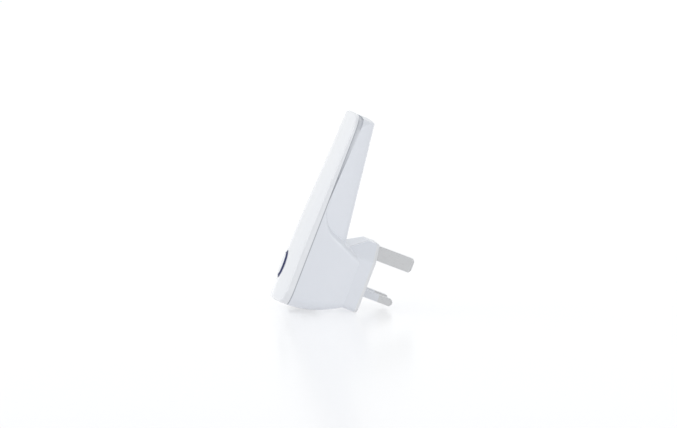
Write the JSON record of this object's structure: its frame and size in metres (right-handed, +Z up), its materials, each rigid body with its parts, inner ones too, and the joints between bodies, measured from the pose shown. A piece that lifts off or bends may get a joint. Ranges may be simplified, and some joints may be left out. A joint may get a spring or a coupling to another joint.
{
  "type": "wifi range extender",
  "caption": "White plug-in wifi range extender with a domed face, a ringed push button and a three-pin British plug, as an assembly that opens up.",
  "frame": {"origin": "on the rear face of the plug plate, midway in height between the earth pin and the other two pins", "axes": "+Z up when plugged in, +Y out of the back along the pins, front face towards -Y"},
  "size_m": [0.0658, 0.0679, 0.11],
  "materials": {
    "gloss_white": "polished white ABS",
    "navy_guide": "deep blue tinted polycarbonate",
    "black_plastic": "moulded black",
    "white_plastic": "moulded white",
    "plated_brass": "nickel-plated brass",
    "grey_sleeve": "pale grey moulded sleeve",
    "green_laminate": "solder mask over glass laminate",
    "thermal_rubber": "soft thermal pad",
    "tinned_steel": "tinned",
    "bare_aluminium": "extruded",
    "gold_contact": "gold flash",
    "dark_ferrite": "sintered",
    "yellow_tape": "polyester tape",
    "capacitor_sleeve": "shrunk sleeve",
    "resistor_body": "lacquered",
    "insulating_film": "polyester film",
    "blank_label": "silver-grey blank label",
    "zinc_steel": "zinc plated",
    "led_lens": "clear resin"
  },
  "bodies": {
    "case": {"board_screws": "zinc_steel", "bridge_rectifier": "black_plastic", "bulk_capacitor_1": "capacitor_sleeve", "bulk_capacitor_2": "capacitor_sleeve", "button_switch": "black_plastic", "crystal": "tinned_steel", "earth_pin": "plated_brass", "flash_chip": "black_plastic", "front_cover": "gloss_white", "fusible_resistor": "resistor_body", "heat_spreader": "bare_aluminium", "insulating_sheet": "insulating_film", "lan_contacts": "gold_contact", "lan_jack": "black_plastic", "lan_transformer": "black_plastic", "left_antenna": "tinned_steel", "link_header": "black_plastic", "link_pins": "gold_contact", "live_pin": "plated_brass", "live_pin_sleeve": "grey_sleeve", "main_board": "green_laminate", "memory_chip": "black_plastic", "neutral_pin": "plated_brass", "neutral_pin_sleeve": "grey_sleeve", "optocoupler": "white_plastic", "output_capacitor": "capacitor_sleeve", "plug_plate": "gloss_white", "plug_plate_screws": "zinc_steel", "power_board": "green_laminate", "power_board_screws": "zinc_steel", "rating_label": "blank_label", "rear_shell": "gloss_white", "reset_switch": "black_plastic", "right_antenna": "tinned_steel", "ring_led_1": "led_lens", "ring_led_2": "led_lens", "ring_led_3": "led_lens", "ring_led_4": "led_lens", "ring_led_5": "led_lens", "ring_led_6": "led_lens", "ring_light_guide": "navy_guide", "shield_can": "tinned_steel", "switching_controller": "black_plastic", "thermal_pad": "thermal_rubber", "transformer_bobbin": "black_plastic", "transformer_core": "dark_ferrite", "transformer_winding": "yellow_tape", "wifi_processor": "black_plastic"},
    "range_button": {"range_button": "gloss_white", "button_plunger": "black_plastic"},
    "reset_plunger": {"reset_plunger": "white_plastic"}
  },
  "joints": [
    {"name": "range_button_press", "type": "slide", "parent": "case", "child": "range_button", "axis": [0, 1, 0], "range_m": [0, 0.0004], "stiffness_N_per_m": 800, "springref_m": -0.0004},
    {"name": "reset_press", "type": "slide", "parent": "case", "child": "reset_plunger", "axis": [0, 0, 1], "range_m": [0, 0.0003], "stiffness_N_per_m": 500, "springref_m": -0.0004}
  ]
}
